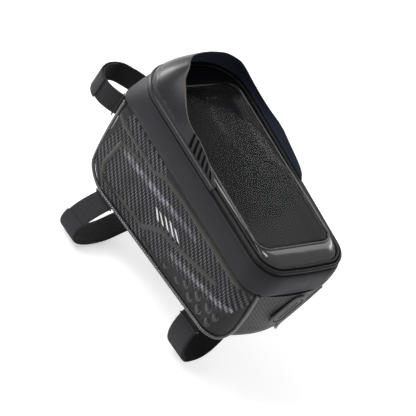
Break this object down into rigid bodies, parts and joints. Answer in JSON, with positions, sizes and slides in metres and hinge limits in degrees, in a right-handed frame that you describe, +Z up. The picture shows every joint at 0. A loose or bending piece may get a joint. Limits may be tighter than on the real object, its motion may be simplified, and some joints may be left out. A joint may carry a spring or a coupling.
{
  "type": "top-tube frame bag",
  "caption": "Hard-shell top-tube bicycle frame bag with a zipped lid, clear phone window, sun hood, carbon-look ribbed sides and hook-and-loop straps.",
  "frame": {"origin": "middle of the lower face of the grip pad that sits on the top tube", "axes": "+X to the handlebar end along the lid, +Y to the bag's left side, +Z up, square to the lid"},
  "size_m": [0.2574, 0.1187, 0.1921],
  "materials": {
    "carbon_skin": "carbon-look woven skin laminated over moulded foam",
    "coated_fabric": "smooth matte coated fabric",
    "welt_plastic": "black piping and plastic rings, fairly glossy",
    "webbing": "hook-and-loop webbing",
    "black_film": "black printed border of the window film, glossy",
    "clear_film": "clear flexible film",
    "hood_plastic": "moulded sheet, satin outside",
    "rubber": "matte rubber",
    "lining": "plain woven lining",
    "stiffener": "plain stiff board",
    "zip_nylon": "nylon coil zip",
    "zip_metal": "dark lacquered metal"
  },
  "bodies": {
    "shell": {"side_panel_left": "carbon_skin", "side_panel_right": "carbon_skin", "gusset": "carbon_skin", "upper_band": "coated_fabric", "welt_left": "welt_plastic", "welt_right": "welt_plastic", "zip_tape_body": "zip_nylon", "cable_port_grommet": "rubber", "cable_port_pad": "rubber", "tube_pad": "rubber", "head_strap_patch": "rubber", "head_tube_strap": "webbing", "head_tube_strap_ring": "welt_plastic", "top_tube_strap_front": "webbing", "top_tube_strap_front_ring": "welt_plastic", "top_tube_strap_rear": "webbing", "top_tube_strap_rear_ring": "welt_plastic", "base_board": "stiffener", "lid_hinge_strip": "webbing"},
    "lid": {"lid_frame": "coated_fabric", "lid_piping": "welt_plastic", "window_piping": "welt_plastic", "window_bezel": "black_film", "window_film": "clear_film", "phone_pocket": "lining", "pocket_tab": "lining", "sun_hood": "hood_plastic", "zip_tape_lid": "zip_nylon"},
    "slider": {"zip_slider": "zip_metal"},
    "pull": {"zip_pull": "rubber"}
  },
  "joints": [
    {"name": "lid_hinge", "type": "hinge", "parent": "shell", "child": "lid", "pos_m": [0.1069, 0, 0.10905], "axis": [0, 1, 0], "range_deg": [0, 100]},
    {"name": "slider_run", "type": "slide", "parent": "shell", "child": "slider", "axis": [-0.9995, 0.0326, 0], "range_m": [0, 0.135]},
    {"name": "pull_hinge", "type": "hinge", "parent": "slider", "child": "pull", "pos_m": [0.05981, -0.05538, 0.10665], "axis": [-0.9995, 0.0326, 0], "range_deg": [0, 95]}
  ]
}
